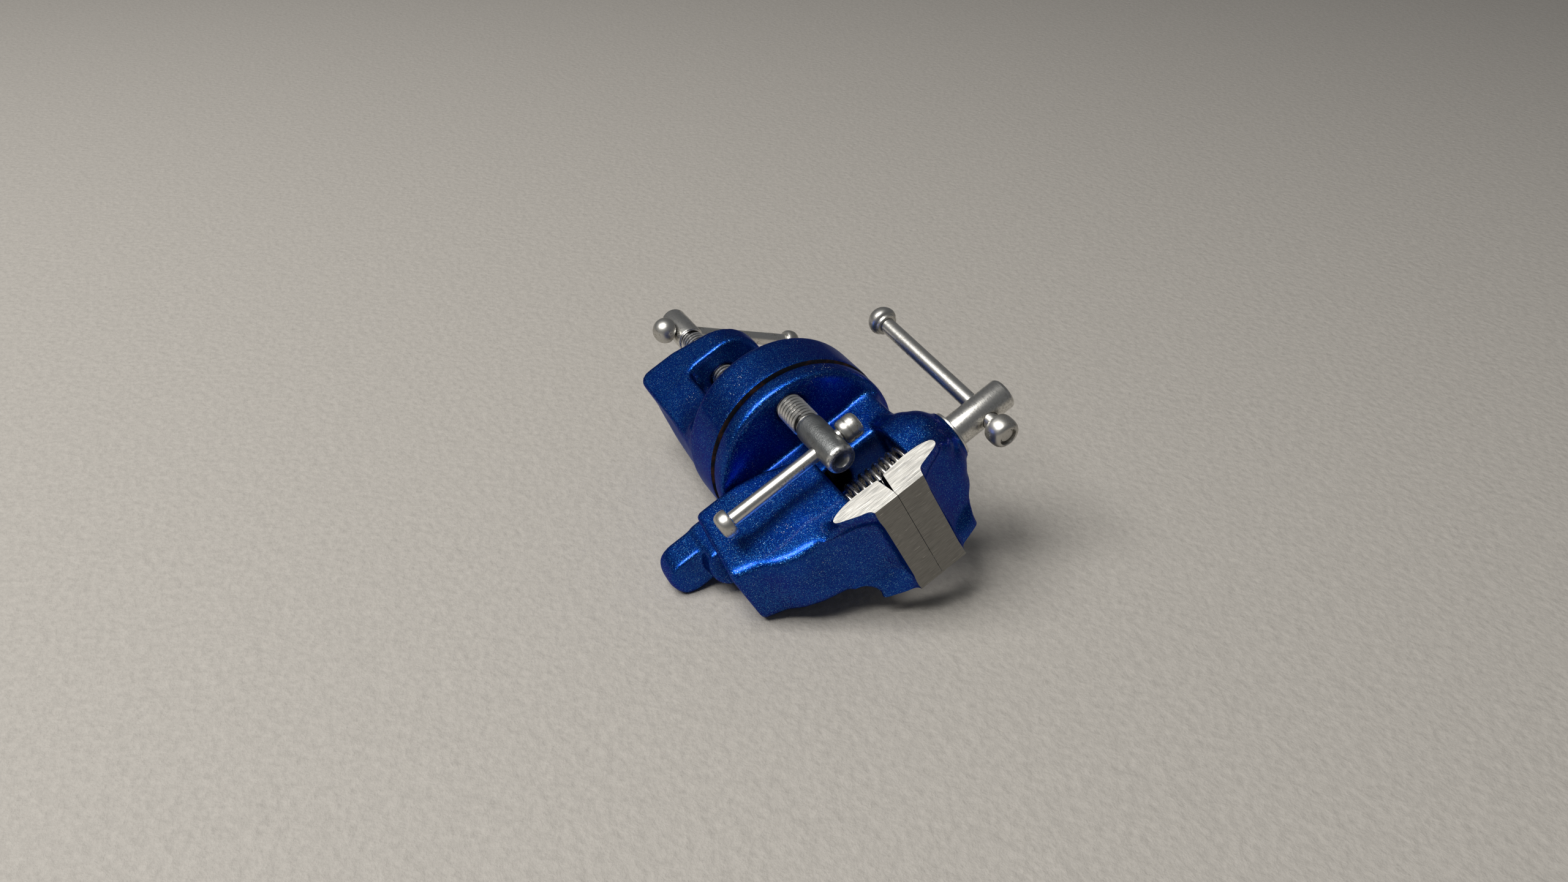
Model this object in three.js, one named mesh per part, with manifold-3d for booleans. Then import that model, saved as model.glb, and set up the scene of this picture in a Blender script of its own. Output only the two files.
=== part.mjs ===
// A clamp-on swivel bench vise with one-inch jaws, as a three.js scene graph.
// Millimetres, +Z up. The origin is the centre of the face that sits on the bench, and +Z is the
// swivel axis. The handle of the main screw is on the -Y side, and the jaws open towards +Y.
import * as THREE from "three";
import { mergeVertices } from "three/addons/utils/BufferGeometryUtils.js";
import Module from "manifold-3d";

// ---- Clearances ----
const seatGap = 0.1; // between two faces that rest on each other
const runGap = 0.08; // between a shaft and its hole, on the radius
const slideGap = 0.3; // between the movable jaw and the guide rail
const swivelGap = 0.3; // between the base and the disc that turns on it

// ---- Swivel base and C-frame ----
const baseRadius = 20.2;
const baseThickness = 11.2;
const baseUnderRound = 1.3; // radius of the cast lower edge
const rimChamfer = 0.4; // along the swivel groove
const spigotRadius = 7;
const spigotHeight = 1.5;
const throatHeight = 22;
const throatBack = 8; // from the swivel axis to the back of the throat
const throatRound = 2.5;
const spineThickness = 9.4;
const frameHalfWidth = 8;
const frameRound = 3.2; // where the arm turns up into the spine
const armRootThickness = 9.3;
const armTipThickness = 5.2;
const armReach = 9; // from the swivel axis to the tip of the arm

// ---- Clamp screw ----
const clampOffset = 1.5; // the screw stands this far behind the swivel axis
const clampThreadRadius = 3;
const clampExposedThread = 11.1; // thread below the arm, at rest
const clampHeadRadius = 3.25;
const clampHeadLength = 11.6;
const clampBarDepth = 4.7; // from the head's shoulder to the bar
const clampBarTurn = 223.5; // degrees from +X
const padRadius = 5.2;
const padThickness = 3.4;
const padDrop = 8; // from the bench face to the pad, at rest
const padNeckRadius = 2;
const padNeckLength = 1.8;

// ---- Swivel disc, guide rail and tail ----
const discInset = 0.2; // the disc stands this far inside the rim of the base
const discThickness = 4.5;
const discEdgeRound = 0.9;
const railHalfWidth = 5;
const railHeight = 10;
const railEnd = 30.2;
const railEndRadius = 6.7;
const tailHalfWidth = 4.4;
const tailHeight = 5.8;
const tailDrop = 1.2; // the tail's underside hangs this far below the disc's top
const tailEnd = 37.9;
const tailRound = 2;

// ---- Swivel pivot ----
const pivotRadius = 2.5;
const pivotHeadRadius = 3.7;
const pivotHeadHeight = 3;
const pivotFloor = 2; // metal left under the blind hole
const pivotSeat = 2.5; // from the disc's top to the seat of the pivot washer
const pivotWasherThickness = 0.8;
const slotWidth = 1.1;
const slotDepth = 1.2;

// ---- Jaws ----
const jawWidth = 25.4;
const jawTop = 33.7; // above the disc's top
const jawPlane = -5.2; // where the jaws meet
const jawGap = 0.1; // between the closed jaws
const jawRoot = 0.4; // the jaws start to flare this far inside the sides of their bodies
const jawLand = 1.2; // height of the meeting faces, above the relief under them
const jawRelief = 0.6; // how far each jaw falls back from the joint below its meeting face
const jawFlare = 2.6; // how quickly the flare comes in from the ends of the jaws
const wallHalfWidth = 8.8;
const wallInner = -12.6; // face of the fixed wall behind the spring
const bossFace = -23.1;
const bossFlare = -17.5; // where the boss has run out inside the wall
const sleeveHalfWidth = 8; // of the movable jaw's body
const sleeveFront = 1; // front face of the movable jaw's body under the jaw
const sleeveTail = 25.8;
const tailLean = 0.09; // the tail face leans back by this much for each mm of height

// ---- Main screw ----
const screwHeight = 18.65; // axis above the disc's top
const screwThreadRadius = 2.5;
const screwTip = 20.5;
const mainHeadRadius = 3.25;
const mainHeadLength = 13.1;
const mainBarDepth = 6.8; // from the head's shoulder to the bar
const mainBarTurn = 99.25; // degrees from +X towards +Z
const mainWasherRadius = 4.9;
const mainWasherThickness = 0.6;
const nutSize = 8; // across the flats
const nutThickness = 4;
const nutFront = 3.5;
const springWire = 0.5; // wire radius
const springRadius = 4.5; // to the middle of the wire
const springTurns = 12;
const springPocketRadius = 7.2; // bored into the fixed wall, around the spring
const springPocketDepth = 2.6;

// ---- Lock screw ----
const lockInset = 5.9; // from the rim of the disc to the lock screw's axis
const lockY = -2.2;
const lockThreadRadius = 2.9;
const lockThreadLength = 7.3; // above the disc's top
const lockHeadRadius = 3;
const lockHeadTop = 20;
const lockBarHeight = 14.3;

// ---- Bars and their knobs: radius, and reach from the screw's axis to the far knob ----
const mainBarRadius = 1.7;
const mainBarReach = 31.2;
const mainBarRest = 1.2; // the main bar lies pulled a little out of its screw head
const lockBarRadius = 1.45;
const lockBarReach = 22.6;
const clampBarRadius = 1.6;
const clampBarReach = 29;
const barNeckRatio = 0.7; // the bar's end is turned down to this share inside its knob
const barNeckLength = 1.6;
const barRest = 0.2; // between a near knob and the screw head it rests on
const headChamfer = 0.7;
const endDimpleRadius = 1.3;
const endDimpleDepth = 0.5;
const clampNearKnob = { radius: 3.1, length: 4.6, dome: 3 };
const clampFarKnob = { radius: 2.7, length: 4.2, dome: 2.6 };
const lockNearKnob = { radius: 2.5, length: 4.3, dome: 1.2 };
const lockFarKnob = { radius: 2.7, length: 3, dome: 1.1 };
const mainNearKnob = { radius: 3.1, length: 4.2, dome: 1.3, recess: 1.7 };
const mainFarKnob = { radius: 3.1, length: 4.7, dome: 3 };

// ---- Levels that follow from the sizes above ----
const discRadius = baseRadius - discInset;
const lockX = discRadius - lockInset;
const discUnder = baseThickness + swivelGap;
const floor = discUnder + discThickness;
const axisZ = floor + screwHeight;
const armTop = -throatHeight;
const armUnder = armTop - armRootThickness;
const armTipUnder = armTop - armTipThickness;
const spineBack = throatBack + spineThickness;
const armSlope = (armTipUnder - armUnder) / (armReach + throatBack);
const armUnderAtScrew = armUnder + armSlope * (throatBack - clampOffset);
const clampShoulder = armUnderAtScrew - clampExposedThread;

const wasm = await Module();
wasm.setup();

// ---- Solids: three.js geometry in, three.js geometry out ----
function toSolid(geometry) {
  const loose = geometry.index ? geometry.toNonIndexed() : geometry;
  const bare = new THREE.BufferGeometry();
  bare.setAttribute("position", loose.getAttribute("position"));
  const merged = mergeVertices(bare, 1e-4);
  const triangles = [];
  for (let i = 0; i < merged.index.count; i += 3) {
    const corners = [0, 1, 2].map((k) => merged.index.getX(i + k));
    if (new Set(corners).size === 3) triangles.push(corners);
  }
  const make = (list) =>
    new wasm.Manifold(
      new wasm.Mesh({
        numProp: 3,
        vertProperties: new Float32Array(merged.attributes.position.array),
        triVerts: new Uint32Array(list.flat()),
      }),
    );
  const made = make(triangles);
  return made.volume() > 0 ? made : make(triangles.map(([a, b, c]) => [a, c, b]));
}

function toGeometry(solid) {
  const mesh = solid.getMesh();
  const geometry = new THREE.BufferGeometry();
  geometry.setAttribute("position", new THREE.BufferAttribute(mesh.vertProperties, 3));
  geometry.setIndex(new THREE.BufferAttribute(mesh.triVerts, 1));
  geometry.computeVertexNormals();
  return geometry;
}

const join = (...solids) => solids.reduce((whole, solid) => whole.add(solid));
const cut = (solid, ...tools) => tools.reduce((left, tool) => left.subtract(tool), solid);

// ---- Shapes ----
const point = (a, b) => new THREE.Vector2(a, b);

// A solid turned about +Z from a profile of [radius, height] points.
function turned(profile, segments = 32) {
  const geometry = new THREE.LatheGeometry(
    profile.map(([radius, height]) => point(radius, height)),
    segments,
  );
  return toSolid(geometry.rotateX(Math.PI / 2));
}

const rod = (radius, from, to, segments = 32) =>
  turned([[0, from], [radius, from], [radius, to], [0, to]], segments);

// The same turned solid, laid along +Y at the height of the main screw.
const laidAlongY = (solid) => solid.rotate([-90, 0, 0]).translate([0, 0, axisZ]);

// A plan outline in x and y, raised from one height to another.
function raised(shape, from, to, curveSegments = 12) {
  const settings = { depth: to - from, bevelEnabled: false, curveSegments };
  return toSolid(new THREE.ExtrudeGeometry(shape, settings).translate(0, 0, from));
}

// A side outline in y and z, extruded evenly to both sides of the middle plane.
function sideways(shape, halfWidth, curveSegments = 8) {
  const settings = { depth: 2 * halfWidth, bevelEnabled: false, curveSegments };
  const geometry = new THREE.ExtrudeGeometry(shape, settings).translate(0, 0, -halfWidth);
  const axes = [new THREE.Vector3(0, 1, 0), new THREE.Vector3(0, 0, 1), new THREE.Vector3(1, 0, 0)];
  return toSolid(geometry.applyMatrix4(new THREE.Matrix4().makeBasis(...axes)));
}

const block = (x0, x1, y0, y1, z0, z1) =>
  toSolid(
    new THREE.BoxGeometry(x1 - x0, y1 - y0, z1 - z0).translate(
      (x0 + x1) / 2,
      (y0 + y1) / 2,
      (z0 + z1) / 2,
    ),
  );

// A skin stretched over rings of equal length; flatten gives a ring's outline for its end cap.
function lofted(rings, flatten) {
  const count = rings[0].length;
  const index = [];
  for (let i = 0; i < rings.length - 1; i += 1)
    for (let j = 0; j < count; j += 1) {
      const a = i * count + j;
      const b = i * count + ((j + 1) % count);
      index.push(a, b, b + count, a, b + count, a + count);
    }
  const contour = rings[0].map(flatten);
  const facing = THREE.ShapeUtils.area(contour) > 0;
  const caps = THREE.ShapeUtils.triangulateShape([...contour], []).map(([a, b, c]) =>
    THREE.ShapeUtils.area([contour[a], contour[b], contour[c]]) > 0 === facing ? [a, b, c] : [a, c, b],
  );
  const last = (rings.length - 1) * count;
  caps.forEach(([a, b, c]) => index.push(a, c, b, last + a, last + b, last + c));
  const geometry = new THREE.BufferGeometry();
  const numbers = rings.flat().flatMap((corner) => corner.toArray());
  geometry.setAttribute("position", new THREE.Float32BufferAttribute(numbers, 3));
  geometry.setIndex(index);
  return toSolid(geometry);
}

// Levels of the flare between the spine and the base: height, half width, where its side ends,
// half width of the back, and how far back the back's edges and its middle stand.
const flareLevels = [
  [-27.6, 4, 14, 3, 17, 17.1],
  [-26.4, 5, 14, 4, 17.1, 17.6],
  [-23, 6, 14, 4.6, 17.3, 18],
  [-19, 7, 14, 5.4, 17.4, 18.4],
  [-14, 8, 14, 6.2, 17.5, 18.9],
  [-10, 8.3, 14, 7, 17.6, 19.1],
  [-6, 9, 14.2, 7.8, 17.7, 19.3],
  [-3, 10.2, 14.6, 8.4, 17.9, 19.4],
  [-1, 11.4, 15.4, 8.6, 18.1, 19.5],
  [0, 12, 16.2, 8.6, 18.1, 19.5],
];

// ---- The clamp frame: base disc, spine and lower arm in one casting ----
function clampFrame() {
  const side = new THREE.Shape();
  side.moveTo(spineBack, baseThickness / 2);
  side.lineTo(throatBack - throatRound, baseThickness / 2);
  side.lineTo(throatBack - throatRound, 0);
  side.absarc(throatBack - throatRound, -throatRound, throatRound, Math.PI / 2, 0, true);
  side.lineTo(throatBack, armTop + throatRound);
  side.absarc(throatBack - throatRound, armTop + throatRound, throatRound, 0, -Math.PI / 2, true);
  side.lineTo(-armReach, armTop);
  side.lineTo(-armReach, armTipUnder);
  side.lineTo(throatBack, armUnder);
  side.lineTo(spineBack - frameRound, armUnder);
  side.absarc(spineBack - frameRound, armUnder + frameRound, frameRound, -Math.PI / 2, 0);
  side.lineTo(spineBack, baseThickness / 2);

  const plan = new THREE.Shape();
  const tipCentre = frameHalfWidth - armReach;
  plan.moveTo(frameHalfWidth, tipCentre);
  plan.lineTo(frameHalfWidth, spineBack);
  plan.lineTo(-frameHalfWidth, spineBack);
  plan.lineTo(-frameHalfWidth, tipCentre);
  plan.absarc(0, tipCentre, frameHalfWidth, Math.PI, 2 * Math.PI);

  const spine = sideways(side, frameHalfWidth + 1).intersect(
    raised(plan, armUnder - 1, baseThickness / 2, 16),
  );

  // The spine widens into the base in a hollow curve, and its back swells out to the base's rim.
  const flareRings = flareLevels.map(([height, half, shoulder, edge, edgeBack, back]) => {
    const side = [
      [half, throatBack],
      [half, shoulder],
      [edge, edgeBack],
      [edge / 2, back - (back - edgeBack) / 4],
    ];
    const mirrored = side.map(([x, y]) => [-x, y]).reverse();
    return [...side, [0, back], ...mirrored].map(([x, y]) => new THREE.Vector3(x, y, height));
  });
  flareRings.push(flareRings.at(-1).map(({ x, y }) => new THREE.Vector3(x, y, baseThickness / 2)));
  const flare = lofted(flareRings, ({ x, y }) => point(x, y));

  const under = [0, 1, 2, 3].map((step) => {
    const angle = (step / 3) * (Math.PI / 2);
    return [
      baseRadius - baseUnderRound + baseUnderRound * Math.sin(angle),
      baseUnderRound * (1 - Math.cos(angle)),
    ];
  });
  const base = turned(
    [
      [0, 0],
      ...under,
      [baseRadius, baseThickness - rimChamfer],
      [baseRadius - rimChamfer, baseThickness],
      [spigotRadius, baseThickness],
      [spigotRadius, baseThickness + spigotHeight],
      [0, baseThickness + spigotHeight],
    ],
    64,
  );
  const clampHole = rod(clampThreadRadius + runGap, armUnder - 1, armTop + 1);
  return cut(
    join(base, spine, flare),
    clampHole.translate([0, clampOffset, 0]),
    rod(pivotRadius + runGap, pivotFloor, baseThickness + spigotHeight + 1, 24),
  );
}

// ---- The swivel pivot: a slotted screw and its washer, let into the guide rail ----
const pivotSeatZ = floor + pivotSeat;
const pivotHeadZ = pivotSeatZ + pivotWasherThickness + 2 * seatGap;

function pivotScrew() {
  const headTop = pivotHeadZ + pivotHeadHeight;
  const screw = turned(
    [
      [0, pivotFloor + seatGap],
      [pivotRadius, pivotFloor + seatGap],
      [pivotRadius, pivotHeadZ],
      [pivotHeadRadius, pivotHeadZ],
      [pivotHeadRadius, headTop - headChamfer],
      [pivotHeadRadius - headChamfer, headTop],
      [0, headTop],
    ],
    24,
  );
  const slot = block(
    -pivotHeadRadius - 1,
    pivotHeadRadius + 1,
    -slotWidth / 2,
    slotWidth / 2,
    headTop - slotDepth,
    headTop + 1,
  );
  return cut(screw, slot);
}

const ring = (inner, outer, from, to, segments = 32) =>
  turned([[inner, from], [outer, from], [outer, to], [inner, to], [inner, from]], segments);

const pivotWasher = () =>
  ring(
    pivotRadius + runGap,
    pivotHeadRadius,
    pivotSeatZ + seatGap,
    pivotSeatZ + seatGap + pivotWasherThickness,
    24,
  );

// ---- Jaws: each is a bar whose outline changes from the body's width to the jaw's ends ----
// Outlines run in [y, height above the disc's top]. The ends are the ground faces.
const movableMiddle = [
  [jawPlane + jawGap / 2, jawTop],
  [-0.9, jawTop],
  [0.3, 31.6],
  [2.4, 29.6],
  [6.5, 28.1],
  [12, 26.5],
  [12, 23.5],
  [sleeveFront, 24],
  [sleeveFront, 26.2],
  [-0.6, 27.5],
  [-4.3, 27.6],
  [jawPlane + jawRelief, 28.8],
  [jawPlane + jawGap / 2, jawTop - jawLand],
];
const movableEnd = [
  [jawPlane + jawGap / 2, jawTop],
  [-0.9, jawTop],
  [0.2, 32.7],
  [2.4, 32],
  [4.5, 30.9],
  [6.3, 30],
  [6.5, 29.3],
  [5.6, 28.5],
  [3.4, 27.8],
  [0.5, 27.5],
  [-4.3, 27.8],
  [jawPlane + jawRelief, 28.8],
  [jawPlane + jawGap / 2, jawTop - jawLand],
];
const fixedMiddle = [
  [jawPlane - jawGap / 2, jawTop],
  [-10.3, jawTop - 0.2],
  [-11.3, 31.2],
  [-13.4, 29.6],
  [-17.2, 27.8],
  [-19.4, 26],
  [-19.8, 22.5],
  [wallInner, 23],
  [wallInner, 25.2],
  [-10.8, 27.2],
  [-6.2, 27.6],
  [jawPlane - jawRelief, 28.8],
  [jawPlane - jawGap / 2, jawTop - jawLand],
];
const fixedEnd = [
  [jawPlane - jawGap / 2, jawTop],
  [-10.3, jawTop - 0.2],
  [-11.5, 31.7],
  [-14, 30.9],
  [-16.6, 30],
  [-17.1, 29.1],
  [-16.7, 28.3],
  [-14.8, 27.5],
  [-12.6, 27.2],
  [-10.4, 27.1],
  [-6.2, 27.6],
  [jawPlane - jawRelief, 28.8],
  [jawPlane - jawGap / 2, jawTop - jawLand],
];

// Levels of the fixed wall: height above the disc's top, half width, front face, corner radius.
const wallLevels = [
  [-1, 5.6, -19.2, 3],
  [0.8, 5.3, -18.6, 3],
  [3, 5.2, -18.1, 3],
  [7.5, 5.3, -17.9, 3],
  [9.5, 5.9, -18.3, 3],
  [11, 6.8, -18.9, 3],
  [12.5, 7.8, -19.5, 3],
  [14.5, 8.5, -20.2, 3.2],
  [18, wallHalfWidth, -20.8, 3.2],
  [24.5, wallHalfWidth, -21.2, 3.2],
  [26, wallHalfWidth, -20.3, 3],
  [27.3, wallHalfWidth, -18.8, 2.6],
  [28, wallHalfWidth, -17.2, 2],
];

// The boss under the main screw's washer, as [radius, y].
const bossProfile = [
  [4.7, bossFace],
  [5.3, bossFace + 0.4],
  [6.1, bossFace + 0.9],
  [7.1, bossFace + 1.6],
  [8.1, bossFace + 2.6],
  [8.6, bossFace + 3.6],
  [8.7, bossFlare],
];

function jawBar(middle, end, bodyHalfWidth) {
  const from = bodyHalfWidth - jawRoot;
  const steps = [0, 0.12, 0.26, 0.44, 0.7, 1];
  const right = steps.map((step) => ({
    x: from + (jawWidth / 2 - from) * step,
    share: 1 - (1 - step) ** jawFlare,
  }));
  const left = right.map(({ x, share }) => ({ x: -x, share })).reverse();
  const rings = [...left, ...right].map(({ x, share }) =>
    middle.map(([y, z], i) => {
      const [endY, endZ] = end[i];
      return new THREE.Vector3(x, y + (endY - y) * share, floor + z + (endZ - z) * share);
    }),
  );
  return lofted(rings, ({ y, z }) => point(y, z));
}

// ---- The fixed jaw body: disc, guide rail, tail, wall and fixed jaw in one casting ----
function fixedJawBody() {
  const edge = [0, 1, 2, 3].map((step) => {
    const angle = (step / 3) * (Math.PI / 2);
    return [
      discRadius - discEdgeRound + discEdgeRound * Math.cos(angle),
      floor - discEdgeRound + discEdgeRound * Math.sin(angle),
    ];
  });
  const disc = turned(
    [
      [0, discUnder],
      [discRadius - rimChamfer, discUnder],
      [discRadius, discUnder + rimChamfer],
      ...edge,
      [0, floor],
    ],
    64,
  );

  const railPlan = new THREE.Shape();
  const railArc = Math.asin(railHalfWidth / railEndRadius);
  const railArcCentre = railEnd - railEndRadius;
  railPlan.moveTo(-railHalfWidth, bossFlare);
  railPlan.lineTo(railHalfWidth, bossFlare);
  railPlan.absarc(0, railArcCentre, railEndRadius, Math.PI / 2 - railArc, Math.PI / 2 + railArc);
  const rail = raised(railPlan, floor - 1, floor + railHeight, 16);

  // The tail's end is rounded both in plan and from the side.
  const tailPlan = new THREE.Shape();
  tailPlan.moveTo(-tailHalfWidth, discRadius / 2);
  tailPlan.lineTo(tailHalfWidth, discRadius / 2);
  tailPlan.lineTo(tailHalfWidth, tailEnd - tailHalfWidth);
  tailPlan.absarc(0, tailEnd - tailHalfWidth, tailHalfWidth, 0, Math.PI);
  const tailSide = new THREE.Shape();
  const tailUnder = floor - tailDrop;
  tailSide.moveTo(discRadius / 2, tailUnder);
  tailSide.lineTo(tailEnd - tailRound, tailUnder);
  tailSide.absarc(tailEnd - tailRound, tailUnder + tailRound, tailRound, -Math.PI / 2, 0);
  tailSide.lineTo(tailEnd, floor + tailHeight - tailRound);
  tailSide.absarc(tailEnd - tailRound, floor + tailHeight - tailRound, tailRound, 0, Math.PI / 2);
  tailSide.lineTo(discRadius / 2, floor + tailHeight);
  const tail = raised(tailPlan, tailUnder, floor + tailHeight, 16).intersect(
    sideways(tailSide, tailHalfWidth + 1),
  );

  const wall = lofted(
    wallLevels.map(([height, half, front, round]) => {
      const corner = [0, 1, 2, 3, 4].map((step) => {
        const angle = (step / 4) * (Math.PI / 2);
        return [half - round + round * Math.cos(angle), front + round - round * Math.sin(angle)];
      });
      const mirrored = corner.map(([x, y]) => [-x, y]).reverse();
      return [[half, wallInner], ...corner, ...mirrored, [-half, wallInner]].map(
        ([x, y]) => new THREE.Vector3(x, y, floor + height),
      );
    }),
    ({ x, y }) => point(x, y),
  );
  const boss = laidAlongY(turned([[0, bossFace], ...bossProfile, [0, bossFlare]]));

  const screwHole = laidAlongY(rod(screwThreadRadius + runGap, bossFace - 1, wallInner + 1, 24));
  const springPocket = laidAlongY(rod(springPocketRadius, wallInner - springPocketDepth, wallInner + 1));
  const swivelRecess = rod(spigotRadius + swivelGap, discUnder - 1, baseThickness + spigotHeight + swivelGap, 48);
  const pivotHole = rod(pivotRadius + runGap, discUnder, floor + railHeight, 24);
  const pivotPocket = rod(pivotHeadRadius + swivelGap, pivotSeatZ, floor + railHeight + 1, 24);
  const lockHole = rod(lockThreadRadius + runGap, discUnder - 1, floor + 1, 24);
  return cut(
    join(disc, rail, tail, wall, boss, jawBar(fixedMiddle, fixedEnd, wallHalfWidth)),
    screwHole,
    springPocket,
    swivelRecess,
    pivotHole,
    pivotPocket,
    lockHole.translate([lockX, lockY, 0]),
  );
}

// ---- The movable jaw: a sleeve that rides on the guide rail, with its jaw above the joint ----
function sleeveRing(y, halfWidth, low, high, round, lean = 0) {
  const corner = (side) =>
    [0, 1, 2, 3, 4].map((step) => {
      const angle = (step / 4) * (Math.PI / 2);
      const across = halfWidth - round + round * (side > 0 ? Math.cos(angle) : Math.sin(angle));
      const up = high - round + round * (side > 0 ? Math.sin(angle) : Math.cos(angle));
      return [side * across, up];
    });
  const flat = [[-halfWidth, low], [halfWidth, low], ...corner(1), ...corner(-1)];
  return flat.map(([x, z]) => new THREE.Vector3(x, y + lean * (z - low), floor + z));
}

function movableJaw() {
  const half = sleeveHalfWidth;
  const sleeve = lofted(
    [
      sleeveRing(sleeveFront, half, 7.2, 26.4, 1.2),
      sleeveRing(5, half, 5, 27.5, 1.2),
      sleeveRing(9.4, half + 0.4, 3.1, 27.4, 1.6),
      sleeveRing(13, half + 0.2, 1.6, 27, 2.2),
      sleeveRing(16, half, 0.7, 26.4, 2.4),
      sleeveRing(19.5, half, 0.5, 24.7, 2.4),
      sleeveRing(22.5, half, 0.5, 22.3, 2.4),
      sleeveRing(sleeveTail - 1.2, half, 0.5, 20.6, 2, tailLean),
      sleeveRing(sleeveTail - 0.4, half - 0.1, 0.6, 20.4, 1.8, tailLean),
      sleeveRing(sleeveTail - 0.1, half - 0.6, 1, 19.8, 1.4, tailLean),
    ],
    ({ x, z }) => point(x, z),
  );
  const channelTop = floor + railHeight + slideGap;
  const channel = block(
    -railHalfWidth - slideGap,
    railHalfWidth + slideGap,
    sleeveFront - 1,
    sleeveTail + 3,
    floor - 1,
    channelTop,
  );
  const nutPocket = block(
    -nutSize / 2 - runGap,
    nutSize / 2 + runGap,
    nutFront - seatGap,
    nutFront + nutThickness + seatGap,
    channelTop - 1,
    axisZ + nutSize / 2 + runGap,
  );
  const screwHole = laidAlongY(rod(screwThreadRadius + runGap, sleeveFront - 1, screwTip + 1, 24));
  return cut(join(sleeve, jawBar(movableMiddle, movableEnd, sleeveHalfWidth)), channel, nutPocket, screwHole);
}

function jawNut() {
  const half = nutSize / 2;
  const body = block(-half, half, nutFront, nutFront + nutThickness, axisZ - half, axisZ + half);
  return cut(body, laidAlongY(rod(screwThreadRadius + runGap, 0, nutFront + nutThickness + 1, 24)));
}

// ---- Screws: a threaded shank and a plain head with a cross hole for its bar ----
// The profile starts at the free end of the head and runs towards the tip.
function screw({ headEnd, shoulder, tip, headRadius, threadRadius, neckRadius = 0, neckLength = 0 }) {
  const way = Math.sign(tip - headEnd);
  const profile = [
    [0, headEnd + way * endDimpleDepth],
    [endDimpleRadius, headEnd + way * endDimpleDepth],
    [endDimpleRadius, headEnd],
    [headRadius - headChamfer, headEnd],
    [headRadius, headEnd + way * headChamfer],
    [headRadius, shoulder],
    [threadRadius, shoulder],
    [threadRadius, tip - way * (neckLength + 0.4)],
    [threadRadius - 0.4, tip - way * neckLength],
  ];
  if (neckLength > 0) profile.push([neckRadius, tip - way * neckLength], [neckRadius, tip]);
  profile.push([0, profile.at(-1)[1]]);
  return turned(profile, 24);
}

const crossHole = (radius, headRadius) => rod(radius + runGap, -headRadius - 1, headRadius + 1, 20);

// A unit vector at an angle in a plane, given by two axes.
function direction(degrees, first, second) {
  const angle = THREE.MathUtils.degToRad(degrees);
  return first.clone().multiplyScalar(Math.cos(angle)).addScaledVector(second, Math.sin(angle));
}

const xAxis = new THREE.Vector3(1, 0, 0);
const yAxis = new THREE.Vector3(0, 1, 0);
const zAxis = new THREE.Vector3(0, 0, 1);

// Turns a solid made along +Z to lie along a direction, and moves it to a place.
function aimed(solid, way, place) {
  const turn = new THREE.Quaternion().setFromUnitVectors(zAxis, way);
  const matrix = new THREE.Matrix4().compose(place, turn, new THREE.Vector3(1, 1, 1));
  return solid.transform(matrix.elements);
}

const mainShoulder = bossFace - mainWasherThickness - 2 * seatGap;
const mainBarWay = direction(mainBarTurn, xAxis, zAxis);
const mainBarPlace = new THREE.Vector3(0, mainShoulder - mainBarDepth, axisZ);

function mainScrew() {
  const body = laidAlongY(
    screw({
      headEnd: mainShoulder - mainHeadLength,
      shoulder: mainShoulder,
      tip: screwTip,
      headRadius: mainHeadRadius,
      threadRadius: screwThreadRadius,
    }),
  );
  return cut(body, aimed(crossHole(mainBarRadius, mainHeadRadius), mainBarWay, mainBarPlace));
}

const mainWasher = () =>
  laidAlongY(
    ring(
      screwThreadRadius + runGap,
      mainWasherRadius,
      bossFace - seatGap - mainWasherThickness,
      bossFace - seatGap,
    ),
  );

const clampBarWay = direction(clampBarTurn, xAxis, yAxis);
const clampBarPlace = new THREE.Vector3(0, clampOffset, clampShoulder - clampBarDepth);

function clampScrew() {
  const body = screw({
    headEnd: clampShoulder - clampHeadLength,
    shoulder: clampShoulder,
    tip: -padDrop - padThickness + padNeckLength,
    headRadius: clampHeadRadius,
    threadRadius: clampThreadRadius,
    neckRadius: padNeckRadius,
    neckLength: padNeckLength,
  }).translate([0, clampOffset, 0]);
  return cut(body, aimed(crossHole(clampBarRadius, clampHeadRadius), clampBarWay, clampBarPlace));
}

function clampPad() {
  const top = -padDrop;
  const under = top - padThickness + seatGap;
  const pad = turned([
    [0, under + padNeckLength],
    [padNeckRadius + runGap, under + padNeckLength],
    [padNeckRadius + runGap, under],
    [padRadius * 0.62, under],
    [padRadius, top - padThickness * 0.45],
    [padRadius, top - 0.4],
    [padRadius - 0.4, top],
    [0, top],
  ]);
  return pad.translate([0, clampOffset, 0]);
}

const lockPlace = new THREE.Vector3(lockX, lockY, floor + lockBarHeight);

function lockScrew() {
  const body = screw({
    headEnd: floor + lockHeadTop,
    shoulder: floor + lockThreadLength,
    tip: baseThickness + seatGap,
    headRadius: lockHeadRadius,
    threadRadius: lockThreadRadius,
  }).translate([lockX, lockY, 0]);
  return cut(body, aimed(crossHole(lockBarRadius, lockHeadRadius), yAxis, lockPlace));
}

// ---- Tommy bars: a rod between two knobs, one of which rests against the screw's head ----
// Built along +Z with the screw's axis at zero; the near knob is below it and the far one above.
function tommyBar(radius, near, reach) {
  const neck = radius * barNeckRatio;
  return turned(
    [
      [0, near - barNeckLength],
      [neck, near - barNeckLength],
      [neck, near],
      [radius, near],
      [radius, reach],
      [neck, reach],
      [neck, reach + barNeckLength],
      [0, reach + barNeckLength],
    ],
    20,
  );
}

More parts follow.
